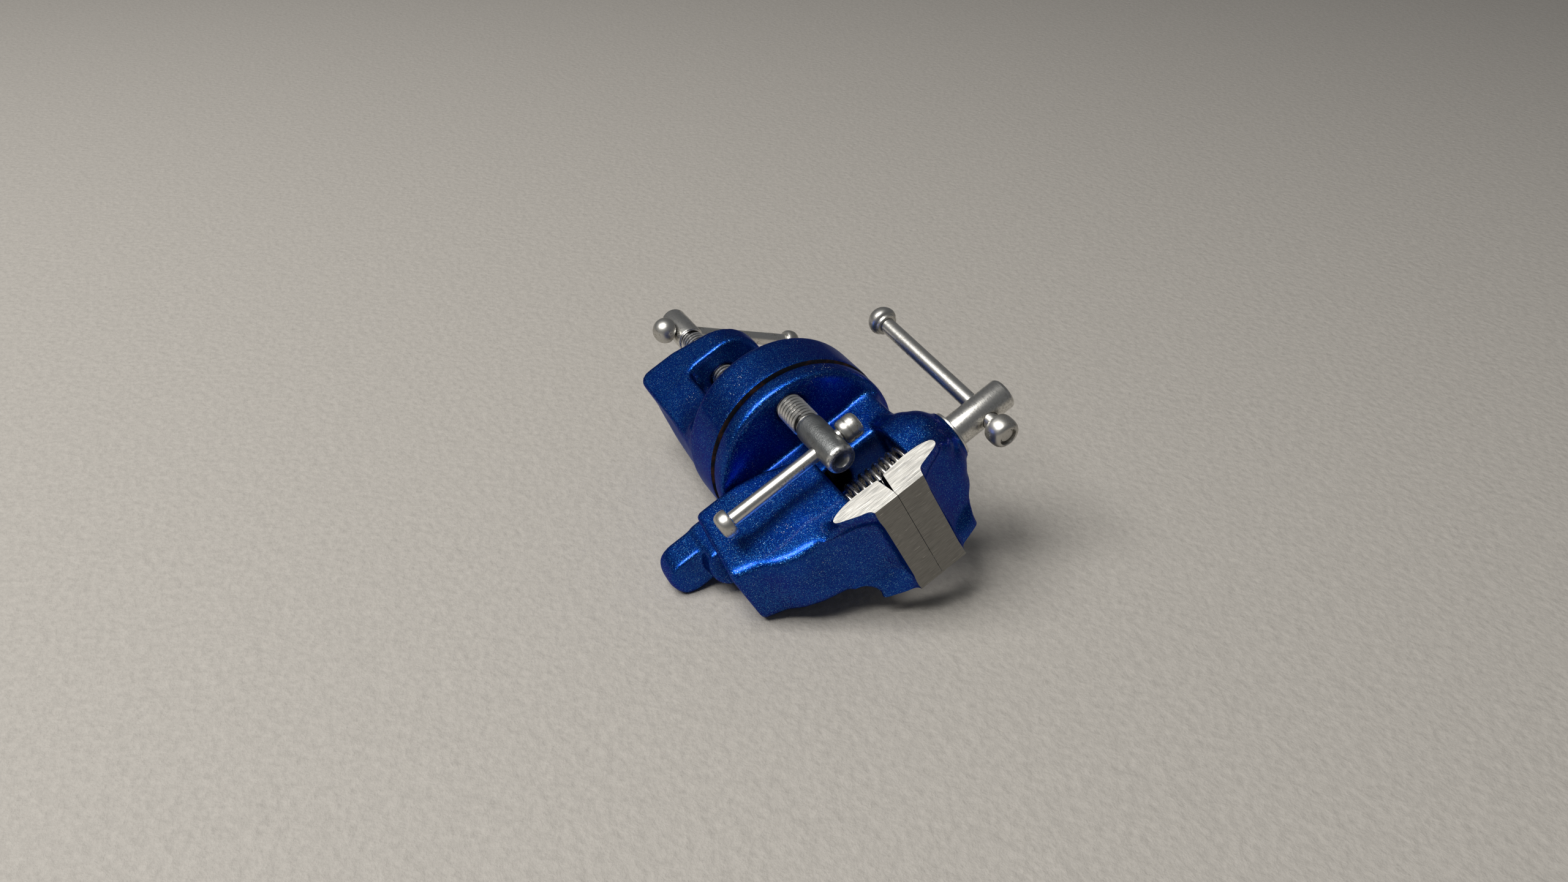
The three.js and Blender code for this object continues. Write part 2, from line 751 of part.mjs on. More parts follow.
// A knob stands on its flat inner face at zero and domes away from the bar.
function knob({ barRadius, radius, length, dome, recess = 0 }) {
  const hole = barRadius * barNeckRatio + seatGap;
  const profile = [
    [0, barNeckLength + seatGap],
    [hole, barNeckLength + seatGap],
    [hole, seatGap],
    [radius * 0.8, seatGap],
    [radius, seatGap + radius * 0.2],
  ];
  const steps = 5;
  for (let step = 0; step <= steps; step += 1) {
    const angle = (step / steps) * (Math.PI / 2);
    const across = radius * Math.cos(angle);
    if (across <= recess) break;
    profile.push([across, length - dome + dome * Math.sin(angle)]);
  }
  if (recess > 0) {
    profile.push([recess, length], [recess, length - endDimpleDepth], [0, length - endDimpleDepth]);
  } else {
    profile.push([0, length]);
  }
  return turned(profile, 24);
}

// ---- The return spring: a round wire wound along the main screw ----
function returnSpring() {
  const start = wallInner - springPocketDepth + springWire + seatGap;
  const length = sleeveFront - springWire - seatGap - start;
  class Coil extends THREE.Curve {
    getPoint(t, target = new THREE.Vector3()) {
      const angle = t * springTurns * 2 * Math.PI;
      return target.set(
        springRadius * Math.cos(angle),
        start + t * length,
        axisZ + springRadius * Math.sin(angle),
      );
    }
  }
  const section = new THREE.Shape();
  section.absarc(0, 0, springWire, 0, 2 * Math.PI);
  return toSolid(
    new THREE.ExtrudeGeometry(section, {
      steps: springTurns * 16,
      extrudePath: new Coil(),
      curveSegments: 4,
      bevelEnabled: false,
    }),
  );
}

// ---- Materials ----
const finish = (color, roughness, metalness) =>
  new THREE.MeshStandardMaterial({ color, roughness, metalness });
const bluePaint = finish(0x0c2f9c, 0.3, 0.35);
const platedSteel = finish(0xb9b5a8, 0.25, 1);
const dullSteel = finish(0x8c8c8a, 0.5, 1);
const springSteel = finish(0x9a958c, 0.35, 1);
const blackSteel = finish(0x202224, 0.5, 0.9);

const vise = new THREE.Group();

function place(group, name, solid, material) {
  const mesh = new THREE.Mesh(toGeometry(solid), material);
  mesh.name = name;
  group.add(mesh);
}

// A bar and its two knobs; flipping a knob end over end puts it on the near side.
function placeBar(name, { radius, headRadius, rest = barRest, reach, way, place: at, nearKnob, farKnob }) {
  const nearFace = -headRadius - rest;
  const group = new THREE.Group();
  group.position.copy(at);
  group.quaternion.setFromUnitVectors(zAxis, way);
  place(group, `${name}_bar`, tommyBar(radius, nearFace, reach), platedSteel);
  const near = knob({ barRadius: radius, ...nearKnob }).rotate([180, 0, 0]);
  place(group, `${name}_bar_near_knob`, near.translate([0, 0, nearFace]), platedSteel);
  const far = knob({ barRadius: radius, ...farKnob }).translate([0, 0, reach]);
  place(group, `${name}_bar_far_knob`, far, platedSteel);
  vise.add(group);
}

place(vise, "clamp_frame", clampFrame(), bluePaint);
place(vise, "pivot_screw", pivotScrew(), blackSteel);
place(vise, "pivot_washer", pivotWasher(), blackSteel);
place(vise, "clamp_pad", clampPad(), dullSteel);
place(vise, "clamp_screw", clampScrew(), platedSteel);
placeBar("clamp", {
  radius: clampBarRadius,
  headRadius: clampHeadRadius,
  reach: clampBarReach,
  way: clampBarWay,
  place: clampBarPlace,
  nearKnob: clampNearKnob,
  farKnob: clampFarKnob,
});
place(vise, "fixed_jaw_body", fixedJawBody(), bluePaint);
place(vise, "lock_screw", lockScrew(), dullSteel);
placeBar("lock", {
  radius: lockBarRadius,
  headRadius: lockHeadRadius,
  reach: lockBarReach,
  way: yAxis,
  place: lockPlace,
  nearKnob: lockNearKnob,
  farKnob: lockFarKnob,
});
place(vise, "movable_jaw", movableJaw(), bluePaint);
place(vise, "jaw_nut", jawNut(), dullSteel);
place(vise, "main_screw", mainScrew(), platedSteel);
place(vise, "main_washer", mainWasher(), platedSteel);
place(vise, "return_spring", returnSpring(), springSteel);
placeBar("main", {
  radius: mainBarRadius,
  headRadius: mainHeadRadius,
  rest: mainBarRest,
  reach: mainBarReach,
  way: mainBarWay.clone().negate(),
  place: mainBarPlace,
  nearKnob: mainNearKnob,
  farKnob: mainFarKnob,
});

export default vise;
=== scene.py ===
"""A small clamp-on bench vise with a swivel base, dressed with its finished surfaces."""

import math

import bpy
import numpy as np
from mathutils import Matrix, Vector


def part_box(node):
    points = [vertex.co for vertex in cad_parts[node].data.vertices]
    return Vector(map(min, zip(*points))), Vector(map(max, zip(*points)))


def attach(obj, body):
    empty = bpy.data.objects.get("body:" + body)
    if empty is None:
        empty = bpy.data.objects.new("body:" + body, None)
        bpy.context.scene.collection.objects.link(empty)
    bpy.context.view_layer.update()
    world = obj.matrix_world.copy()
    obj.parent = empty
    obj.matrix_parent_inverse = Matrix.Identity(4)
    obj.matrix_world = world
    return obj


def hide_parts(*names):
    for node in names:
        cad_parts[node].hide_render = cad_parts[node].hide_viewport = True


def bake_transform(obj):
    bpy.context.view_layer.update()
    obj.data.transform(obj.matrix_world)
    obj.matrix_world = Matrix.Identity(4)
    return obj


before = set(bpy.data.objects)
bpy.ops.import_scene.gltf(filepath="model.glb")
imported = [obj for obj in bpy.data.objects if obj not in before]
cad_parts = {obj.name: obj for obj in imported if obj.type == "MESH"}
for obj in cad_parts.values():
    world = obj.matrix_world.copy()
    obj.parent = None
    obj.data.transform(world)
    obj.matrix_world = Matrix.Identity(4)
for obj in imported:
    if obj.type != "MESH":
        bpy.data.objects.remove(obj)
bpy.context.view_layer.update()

bl_info = {
    "name": "Clamp-on bench vise",
    "version": (1, 0, 0),
    "blender": (4, 5, 0),
    "location": "View3D > Sidebar > Vise",
    "description": "Builds the finished surfaces of a small bench vise around its solid model",
    "category": "Object",
}

MM = 0.001

# Places on the vise as it stands clamped to a bench, in millimetres.
AXIS = 34.65  # height of the main screw
JAW_TOP = 49.7
JAW_PLANE = -5.2  # the closed jaws meet here, along the main screw
JAW_GAP = 0.1
JAW_HALF = 12.7
JAW_ROOT = 42.5  # the jaws are the parts of the bodies above this height
JAW_LAND = 48.5  # the jaws meet above this height and fall back from each other below it
JAW_UNDER = 44.8
JAW_RELIEF = 0.6  # how far each jaw has fallen back at its underside
BASE_TOP = 11.2
BASE_SEAT = BASE_TOP - 0.3  # the rusty face of the base, in the groove under the swivel disc
DISC_UNDER = 11.5
BOSS_FACE = -23.1  # the wall's boss, under the washer
STUD = (14.1, -2.2, 0.0)  # axis of the lock stud
CLAMP_AXIS = (0.0, 1.5, 0.0)
MAIN_BAR_WAY = (0.160743, 0, -0.986996)  # 9.25 degrees off hanging straight down
CLAMP_BAR_WAY = (-0.725374, -0.688355, 0)  # 43.5 degrees off pointing straight across

CUT_SPARE = 3.0  # ground faces are moved out this far before a casting is softened, then cut back
SHARP_SPARE = 0.8  # the same for the base's top edge, which keeps a little of its rounding
CLOSE = 0.05  # how near to a ground face a vertex counts as on it

UP = Vector((0.0, 0.0, 1.0))
ALONG = Vector((0.0, 1.0, 0.0))

# The vise lies on its side. The floor touches its tail, the rim of its base and a corner of its jaw.
FLOOR_NORMAL = Vector((0.887, -0.461, -0.03)).normalized()
FLOOR_TOUCH = Vector((-3.88, 35.57, 21.8)) * MM - FLOOR_NORMAL * 0.0001
CAMERA_PLACE = Vector((0.16633, 0.02104, 0.18515))
CAMERA_LOOK = Vector((-0.680, -0.079, -0.729))
CAMERA_RIGHT = Vector((-0.406, -0.787, 0.465)).normalized()


# ---- Sizes and colours that a user would change ----
class PaintSettings(bpy.types.PropertyGroup):
    colour: bpy.props.FloatVectorProperty(
        name="Enamel", description="Colour of the enamel on the castings", subtype="COLOR",
        size=3, min=0.0, max=1.0, default=(0.0016, 0.036, 0.29),
    )
    flake_colour: bpy.props.FloatVectorProperty(
        name="Flake", description="Colour of the metal flakes in the enamel", subtype="COLOR",
        size=3, min=0.0, max=1.0, default=(0.03, 0.19, 0.50),
    )
    glint_colour: bpy.props.FloatVectorProperty(
        name="Glint", description="Colour of the few brightest flakes", subtype="COLOR",
        size=3, min=0.0, max=1.0, default=(0.30, 0.55, 0.80),
    )
    flake_size: bpy.props.FloatProperty(
        name="Flake size", description="Width of one flake", unit="LENGTH", default=0.00008,
    )


class SteelSettings(bpy.types.PropertyGroup):
    ground: bpy.props.FloatVectorProperty(
        name="Ground steel", description="Colour of the ground jaws", subtype="COLOR",
        size=3, min=0.0, max=1.0, default=(0.86, 0.84, 0.785),
    )
    plated: bpy.props.FloatVectorProperty(
        name="Plating", description="Colour of the plated bars and knobs", subtype="COLOR",
        size=3, min=0.0, max=1.0, default=(0.72, 0.705, 0.665),
    )
    zinc: bpy.props.FloatVectorProperty(
        name="Zinc", description="Colour of the dull zinc on the lock stud", subtype="COLOR",
        size=3, min=0.0, max=1.0, default=(0.30, 0.31, 0.31),
    )


class CastingSettings(bpy.types.PropertyGroup):
    grain: bpy.props.FloatProperty(
        name="Grain", description="Size of the cells a casting is grown from", unit="LENGTH",
        default=0.00036,
    )
    rounds: bpy.props.IntProperty(
        name="Rounds", description="How many times the cast edges are softened", default=28,
    )


class ThreadSettings(bpy.types.PropertyGroup):
    lock_pitch: bpy.props.FloatProperty(
        name="Lock pitch", description="Pitch of the lock stud's thread", unit="LENGTH", default=0.00095,
    )
    clamp_pitch: bpy.props.FloatProperty(
        name="Clamp pitch", description="Pitch of the clamp screw's thread", unit="LENGTH", default=0.001,
    )
    main_pitch: bpy.props.FloatProperty(
        name="Main pitch", description="Pitch of the main screw's thread", unit="LENGTH", default=0.0008,
    )


class StageSettings(bpy.types.PropertyGroup):
    floor_colour: bpy.props.FloatVectorProperty(
        name="Floor", description="Colour of the floor", subtype="COLOR",
        size=3, min=0.0, max=1.0, default=(0.385, 0.362, 0.33),
    )
    key_power: bpy.props.FloatProperty(
        name="Key light", description="Power of the large light overhead", unit="POWER", default=23.0,
    )
    world_light: bpy.props.FloatProperty(
        name="Room light", description="Strength of the even light from all round", default=0.13,
        min=0.0,
    )


# ---- Selecting and shaping ----
def only(piece):
    """Makes a piece the one selected and active object, in object mode."""
    if bpy.context.object and bpy.context.object.mode != "OBJECT":
        bpy.ops.object.mode_set(mode="OBJECT")
    bpy.ops.object.select_all(action="DESELECT")
    piece.select_set(True)
    bpy.context.view_layer.objects.active = piece


def places(items, what):
    """The places of vertices or faces, in millimetres, as rows."""
    flat = np.empty(len(items) * 3, dtype=np.float32)
    items.foreach_get(what, flat)
    return flat.reshape(-1, 3) / MM


def pick(piece, test, faces=False):
    """Selects the vertices, or the faces, whose place in millimetres passes a test, and opens edit mode."""
    only(piece)
    mesh = piece.data
    for items in (mesh.vertices, mesh.edges, mesh.polygons):
        items.foreach_set("select", np.zeros(len(items), dtype=bool))
    items = mesh.polygons if faces else mesh.vertices
    x, y, z = places(items, "center" if faces else "co").T
    chosen = np.broadcast_to(test(x, y, z), len(items))
    items.foreach_set("select", np.ascontiguousarray(chosen))
    bpy.context.tool_settings.mesh_select_mode = (not faces, False, faces)
    bpy.ops.object.mode_set(mode="EDIT")


def everything(x, y, z):
    return x > -1e9


def finish_modifier(piece, kind, **settings):
    """Adds a modifier with its settings and applies it."""
    only(piece)
    modifier = piece.modifiers.new(kind.title(), kind)
    for key, value in settings.items():
        setattr(modifier, key, value)
    bpy.ops.object.modifier_apply(modifier=modifier.name)


def shade(piece, degrees=35.0):
    only(piece)
    bpy.ops.object.shade_smooth_by_angle(angle=math.radians(degrees))


def turned(name, profile, sides=64):
    """A round piece raised ring by ring along +Z, from (radius, height) pairs in millimetres."""
    (radius, height), *rest = profile
    bpy.ops.object.select_all(action="DESELECT")
    bpy.ops.mesh.primitive_circle_add(
        vertices=sides, radius=radius * MM, fill_type="NGON", location=(0, 0, 0),
    )
    piece = bpy.context.object
    piece.name = name
    bpy.ops.object.mode_set(mode="EDIT")
    bpy.ops.mesh.select_all(action="SELECT")
    bpy.ops.transform.translate(value=(0, 0, height * MM))
    for wide, high in rest:
        bpy.ops.mesh.extrude_region_move(TRANSFORM_OT_translate={"value": (0, 0, (high - height) * MM)})
        scale = wide / radius
        bpy.ops.transform.resize(value=(scale, scale, 1), center_override=(0, 0, high * MM))
        radius, height = wide, high
    bpy.ops.mesh.select_all(action="SELECT")
    bpy.ops.mesh.normals_make_consistent(inside=False)
    bpy.ops.object.mode_set(mode="OBJECT")
    shade(piece)
    return piece


def bored(piece, radius, place, way):
    """Drills a round hole through a piece, along a direction."""
    drill = turned("drill", [(radius, -20.0), (radius, 20.0)], sides=48)
    drill.data.transform(aim(place, way))
    finish_modifier(piece, "BOOLEAN", object=drill, operation="DIFFERENCE", solver="EXACT")
    bpy.data.objects.remove(drill)
    shade(piece)
    return piece


def aim(place, way):
    """The move that takes a piece made along +Z to a place in millimetres, lying along a direction."""
    turn = UP.rotation_difference(Vector(way).normalized()).to_matrix().to_4x4()
    return Matrix.Translation(Vector(place) * MM) @ turn


def close_ends(piece):
    """Closes the open ends of a wound shape, and points its faces outwards."""
    only(piece)
    bpy.context.tool_settings.mesh_select_mode = (True, False, False)
    bpy.ops.object.mode_set(mode="EDIT")
    bpy.ops.mesh.select_all(action="SELECT")
    bpy.ops.mesh.remove_doubles(threshold=1e-7)
    bpy.ops.mesh.select_all(action="DESELECT")
    bpy.ops.mesh.select_non_manifold()
    bpy.ops.mesh.fill()
    bpy.ops.mesh.select_all(action="SELECT")
    bpy.ops.mesh.normals_make_consistent(inside=False)
    bpy.ops.object.mode_set(mode="OBJECT")


def threaded(piece, radius, depth, pitch, start, end, sides=40):
    """Winds a ridge round a piece made along +Z, and joins it on as a thread."""
    bpy.ops.object.select_all(action="DESELECT")
    core = radius - depth
    bpy.ops.mesh.primitive_circle_add(
        vertices=4, radius=MM, fill_type="NOTHING", rotation=(math.pi / 2, 0, 0),
        location=(core * MM, 0, start * MM),
    )
    ridge = bpy.context.object
    ridge.scale = (depth, 0.44 * pitch / MM, 1)
    bpy.ops.object.transform_apply(location=True, rotation=True, scale=True)
    turns = int((end - start) * MM / pitch)
    finish_modifier(
        ridge, "SCREW", axis="Z", angle=2 * math.pi, screw_offset=pitch, iterations=turns,
        steps=sides, render_steps=sides, use_normal_calculate=True,
    )
    close_ends(ridge)
    finish_modifier(piece, "BOOLEAN", object=ridge, operation="UNION", solver="EXACT")
    bpy.data.objects.remove(ridge)
    shade(piece, 30.0)


def cast(node, name, lifts, trims, softer=None):
    """A casting with soft edges, grown from its plain solid, whose ground faces are then cut flat.

    lifts: the vertices to move out before softening, and how far; trims: the faces to cut, and the plane of
    each cut; softer: the part of the casting that is softened once more.
    """
    settings = bpy.context.scene.vise_casting
    piece = bpy.data.objects.new(name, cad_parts[node].data.copy())
    bpy.context.scene.collection.objects.link(piece)
    pick(piece, everything)
    bpy.ops.mesh.remove_doubles(threshold=1e-6)
    for test, offset in lifts:
        pick(piece, test)
        bpy.ops.transform.translate(value=Vector(offset) * MM)
    bpy.ops.object.mode_set(mode="OBJECT")
    finish_modifier(piece, "REMESH", mode="VOXEL", voxel_size=settings.grain)
    finish_modifier(piece, "SMOOTH", factor=0.5, iterations=settings.rounds)
    if softer:
        pick(piece, softer)
        bpy.ops.mesh.vertices_smooth(factor=0.5, repeat=90)
    for test, place, way in trims:
        pick(piece, test, faces=True)
        bpy.ops.mesh.bisect(
            plane_co=Vector(place) * MM, plane_no=way, use_fill=True, clear_outer=True, threshold=1e-6,
        )
    bpy.ops.object.mode_set(mode="OBJECT")
    return piece


def bare_faces(piece, paint, faces):
    """Paints a casting, and gives each of its cut faces a finish of its own."""
    mesh = piece.data
    mesh.materials.clear()
    mesh.materials.append(paint)
    centres = places(mesh.polygons, "center")
    normals = places(mesh.polygons, "normal") * MM
    finish = np.zeros(len(centres), dtype=np.int32)
    for look, place, way in faces:
        if look.name not in mesh.materials:
            mesh.materials.append(look)
        way = np.array(way, dtype=np.float32)
        near = np.abs((centres - np.array(place, dtype=np.float32)) @ way) < 0.01
        finish[near & (np.abs(normals @ way) > 0.999)] = mesh.materials.find(look.name)
    mesh.polygons.foreach_set("material_index", finish)
    shade(piece, 32.0)


def dress(piece, body, material=None, stands_for=()):
    """Gives a piece its material and its body, and hides the solids it stands for."""
    if material:
        piece.data.materials.clear()
        piece.data.materials.append(material)
    if body:
        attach(piece, body)
    if stands_for:
        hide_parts(*stands_for)
    return piece


# ---- Materials ----
class Surface:
    """A procedural material on the object's own coordinates."""

    def __init__(self, name):
        self.material = bpy.data.materials.new(name)
        self.material.use_nodes = True
        self.tree = self.material.node_tree
        self.shader = self.tree.nodes["Principled BSDF"]
        self.coordinates = self.add("ShaderNodeTexCoord").outputs["Object"]

    def add(self, kind, links=None, **settings):
        made = self.tree.nodes.new(kind)
        for key, value in settings.items():
            setattr(made, key, value)
        for socket, value in (links or {}).items():
            if isinstance(value, bpy.types.NodeSocket):
                self.tree.links.new(value, made.inputs[socket])
            else:
                made.inputs[socket].default_value = value
        return made

    def set(self, **values):
        for name, value in values.items():
            socket = self.shader.inputs[name.replace("_", " ")]
            if isinstance(value, bpy.types.NodeSocket):
                self.tree.links.new(value, socket)
            else:
                socket.default_value = value

    def stretched(self, scale):
        """The coordinates, stretched by different amounts along the three axes."""
        return self.add("ShaderNodeMapping", {"Vector": self.coordinates, "Scale": scale}).outputs["Vector"]

    def noise(self, scale, detail=2.0, roughness=0.5, vector=None):
        links = {"Scale": scale, "Detail": detail, "Roughness": roughness}
        links["Vector"] = vector or self.coordinates
        return self.add("ShaderNodeTexNoise", links).outputs["Fac"]

    def cells(self, scale, **settings):
        """A pattern of cells, which has a Color and a Distance."""
        links = {"Vector": self.coordinates, "Scale": scale}
        return self.add("ShaderNodeTexVoronoi", links, **settings).outputs

    def ramp(self, value, low, high, out_low=0.0, out_high=1.0):
        links = {"Value": value, "From Min": low, "From Max": high, "To Min": out_low, "To Max": out_high}
        return self.add("ShaderNodeMapRange", links).outputs["Result"]

    def mixed(self, share, first, second):
        made = self.add("ShaderNodeMix", {"Factor": share}, data_type="RGBA")
        for socket, value in (("A", first), ("B", second)):
            target = [s for s in made.inputs if s.name == socket and s.type == "RGBA"][0]
            if isinstance(value, bpy.types.NodeSocket):
                self.tree.links.new(value, target)
            else:
                target.default_value = (*value, 1.0)
        return [s for s in made.outputs if s.type == "RGBA"][0]

    def sum(self, first, second, operation="ADD"):
        return self.add("ShaderNodeMath", {0: first, 1: second}, operation=operation).outputs[0]

    def vector(self, operation, first, second=None, scale=None):
        """A sum on vectors."""
        links = {0: first}
        if second is not None:
            links[1] = second
        if scale is not None:
            links["Scale"] = scale
        return self.add("ShaderNodeVectorMath", links, operation=operation).outputs["Vector"]

    def bump(self, height, strength, distance):
        links = {"Height": height, "Strength": strength, "Distance": distance}
        return self.add("ShaderNodeBump", links).outputs["Normal"]


def toned(colour, share):
    """A share of a colour."""
    return tuple(share * part for part in colour)


def enamel(settings):
    """Deep blue enamel over fine metal flakes, each tilted its own way, with a little dust on it."""
    skin = Surface("flake enamel")
    flakes = skin.cells(1.0 / settings.flake_size)
    chance = skin.add("ShaderNodeSeparateColor", {"Color": flakes["Color"]}).outputs["Red"]
    crowd = skin.ramp(skin.noise(150.0, 3.0), 0.3, 0.7, 0.90, 0.80)
    flake = skin.sum(chance, crowd, "GREATER_THAN")
    tone = skin.ramp(skin.noise(90.0, 2.0), 0.35, 0.65)
    depth = skin.mixed(tone, toned(settings.colour, 0.75), settings.colour)
    colour = skin.mixed(flake, depth, settings.flake_colour)
    colour = skin.mixed(skin.sum(chance, 0.985, "GREATER_THAN"), colour, settings.glint_colour)
    spots = skin.cells(2400.0)
    size = skin.ramp(skin.noise(110.0, 4.0), 0.52, 0.70, 0.0, 0.22)
    picked = skin.add("ShaderNodeSeparateColor", {"Color": spots["Color"]}).outputs["Green"]
    few = skin.sum(picked, 0.6, "GREATER_THAN")
    dust = skin.sum(skin.sum(spots["Distance"], size, "LESS_THAN"), few, "MULTIPLY")
    colour = skin.mixed(dust, colour, (0.50, 0.52, 0.55))
    peel = skin.bump(skin.noise(420.0, 2.0), 0.25, 0.00006)
    tilt = skin.vector("SUBTRACT", flakes["Color"], (0.5, 0.5, 0.5))
    lean = skin.vector("SCALE", tilt, scale=skin.ramp(flake, 0.0, 1.0, 0.10, 0.42))
    normal = skin.vector("NORMALIZE", skin.vector("ADD", peel, lean))
    skin.set(Base_Color=colour, Normal=normal, Roughness=0.37, Metallic=skin.ramp(dust, 0.0, 1.0, 1.0, 0.0))
    skin.set(Specular_Tint=(0.12, 0.22, 0.55, 1.0), Coat_Weight=0.17, Coat_Roughness=0.1, Coat_Normal=peel)
    return skin.material


def ground_steel(settings, share, name):
    """Bare steel with grinding lines along the jaws' travel; a smaller share of its colour gives a darker
    copy, which on the jaw tops is painted shade.
    """
    skin = Surface(name)
    lines = skin.noise(1.0, 3.0, 0.6, skin.stretched((9500.0, 420.0, 9500.0)))
    coarse = skin.noise(1.0, 2.0, 0.5, skin.stretched((2400.0, 260.0, 2400.0)))
    bright = toned(settings.ground, share)
    tone = skin.mixed(skin.ramp(lines, 0.35, 0.65), toned(bright, 0.66), bright)
    nicks = skin.noise(1.0, 2.0, 0.5, skin.stretched((4200.0, 420.0, 4200.0)))
    nicked = tuple(min(1.0, part) for part in toned(bright, 1.6))
    tone = skin.mixed(skin.ramp(nicks, 0.68, 0.74), tone, nicked)
    scratches = skin.sum(lines, coarse, "ADD")
    skin.set(
        Base_Color=tone, Metallic=1.0, Roughness=skin.ramp(coarse, 0.3, 0.7, 0.38, 0.55),
        Normal=skin.bump(scratches, 0.4, 0.00005),
    )
    return skin.material


def plating(settings, name, share, roughness):
    """Thin satin plating, speckled where it is rough underneath; a smaller share of its colour is duller."""
    skin = Surface(name)
    pits = skin.ramp(skin.noise(2600.0, 3.0, 0.6), 0.52, 0.66)
    patches = skin.ramp(skin.noise(330.0, 2.0), 0.40, 0.60)
    worn = skin.sum(pits, patches, "MULTIPLY")
    tone = skin.mixed(worn, toned(settings.plated, share), (0.22, 0.20, 0.16))
    dents = skin.noise(700.0, 4.0, 0.6)
    skin.set(
        Base_Color=tone, Metallic=1.0, Roughness=skin.ramp(worn, 0.0, 1.0, roughness, roughness + 0.2),
        Normal=skin.bump(dents, 0.35, 0.0001),
    )
    return skin.material


def standing_out(skin, axis, roots, crests):
    """How far a place stands out from an upright axis: 0 in the roots of a thread, 1 on its crests."""
    offset = skin.vector("SUBTRACT", skin.coordinates, Vector(axis) * MM)
    level = skin.vector("MULTIPLY", offset, (1.0, 1.0, 0.0))
    radius = skin.add("ShaderNodeVectorMath", {0: level}, operation="LENGTH").outputs["Value"]
    return skin.ramp(radius, roots, crests)


def height_of(skin):
    """The height of a place along the vise's upright axis."""
    return skin.add("ShaderNodeSeparateXYZ", {0: skin.coordinates}).outputs["Z"]


def screw_steel(settings, name, thread_start=None):
    """Bright mottled steel; above the start of the clamp screw's thread, painted shade darkens the roots of
    the thread and a painted highlight lightens its crests.
    """
    skin = Surface(name)
    mottle = skin.noise(1.0, 4.0, 0.6, skin.stretched((2300.0, 2300.0, 900.0)))
    tone = skin.mixed(skin.ramp(mottle, 0.36, 0.56), toned(settings.plated, 0.66), settings.plated)
    if thread_start is not None:
        # Painted shade in the thread's roots and a painted highlight on its crests, set by distance from the
        # axis.
        crest = standing_out(skin, CLAMP_AXIS, 0.00262, 0.00288)
        thread = skin.mixed(crest, (0.04, 0.04, 0.04), (0.95, 0.93, 0.9))
        tone = skin.mixed(skin.ramp(height_of(skin), thread_start - 0.0001, thread_start), tone, thread)
    skin.set(
        Base_Color=tone, Metallic=1.0, Roughness=skin.ramp(mottle, 0.35, 0.65, 0.36, 0.24),
        Normal=skin.bump(mottle, 0.3, 0.00006),
    )
    return skin.material


def dull_zinc(settings):
    """Dull grey zinc on the lock stud, with a painted highlight on the rim of its head, and on its thread
    painted shade in the roots and a painted highlight on the crests.
    """
    skin = Surface("dull zinc")
    grain = skin.noise(3200.0, 3.0)
    clouds = skin.noise(420.0, 3.0)
    dull = skin.mixed(skin.ramp(clouds, 0.35, 0.7), toned(settings.zinc, 0.7), settings.zinc)
    # On the thread: painted shade in the roots and a painted highlight on the crests, set by distance from
    # the axis.
    on_thread = skin.ramp(height_of(skin), 0.0233, 0.0229)
    crest = skin.mixed(standing_out(skin, STUD, 0.00248, 0.0027), (0.03, 0.03, 0.03), (0.92, 0.9, 0.86))
    # A painted highlight on the rim of the head, lighter in noisy patches; there the zinc is also made
    # smoother.
    on_head = skin.ramp(height_of(skin), 0.0349, 0.0355)
    rim = skin.sum(on_head, standing_out(skin, STUD, 0.0013, 0.0018), "MULTIPLY")
    painted_rim_highlight = skin.sum(rim, skin.ramp(skin.noise(1500.0, 4.0, 0.6), 0.36, 0.56), "MULTIPLY")
    tone = skin.mixed(on_thread, skin.mixed(painted_rim_highlight, dull, (0.85, 0.84, 0.81)), crest)
    skin.set(
        Base_Color=tone, Metallic=1.0,
        Roughness=skin.ramp(skin.sum(on_thread, painted_rim_highlight, "MAXIMUM"), 0.0, 1.0, 0.42, 0.32),
        Normal=skin.bump(skin.sum(grain, clouds), 0.5, 0.00012),
    )
    return skin.material


def black_oxide():
    """Black oxide with a faint oily sheen."""
    skin = Surface("black oxide")
    grain = skin.noise(2400.0, 3.0)
    skin.set(Base_Color=skin.mixed(grain, (0.008, 0.008, 0.009), (0.02, 0.02, 0.022)), Metallic=0.6,
             Roughness=skin.ramp(grain, 0.3, 0.7, 0.4, 0.6))
    return skin.material


def groove_rust():
    """Dark grease with rust in it, on the face between the base and the swivel disc."""
    skin = Surface("rusty grease")
    patches = skin.ramp(skin.noise(260.0, 4.0, 0.6), 0.48, 0.62)
    skin.set(Base_Color=skin.mixed(patches, (0.012, 0.010, 0.008), (0.13, 0.05, 0.018)), Roughness=0.75)
    return skin.material


def spring_wire():
    """Bright drawn wire with fine lines round it."""
    skin = Surface("drawn wire")
    lines = skin.noise(1500.0, 3.0)
    skin.set(Base_Color=skin.mixed(lines, (0.42, 0.40, 0.37), (0.75, 0.73, 0.69)), Metallic=1.0,
             Roughness=skin.ramp(lines, 0.3, 0.7, 0.2, 0.36))
    return skin.material


def floor_cloth(settings):
    """Pale floor with a faint leathery grain, seen from its upper side only."""
    skin = Surface("pale floor")
    grain = skin.noise(700.0, 5.0, 0.65)
    pores = skin.cells(520.0, feature="SMOOTH_F1")
    tone = skin.mixed(skin.ramp(grain, 0.35, 0.65), toned(settings.floor_colour, 0.88), settings.floor_colour)
    relief = skin.sum(grain, skin.sum(pores["Distance"], 0.6, "MULTIPLY"))
    skin.set(Base_Color=tone, Roughness=0.7, Normal=skin.bump(relief, 0.55, 0.0006))
    clear = skin.add("ShaderNodeBsdfTransparent").outputs[0]
    behind = skin.add("ShaderNodeNewGeometry").outputs["Backfacing"]
    both = skin.add("ShaderNodeMixShader", {0: behind, 1: skin.shader.outputs[0], 2: clear}).outputs[0]
    skin.tree.links.new(both, skin.tree.nodes["Material Output"].inputs["Surface"])
    return skin.material


finishes = {}


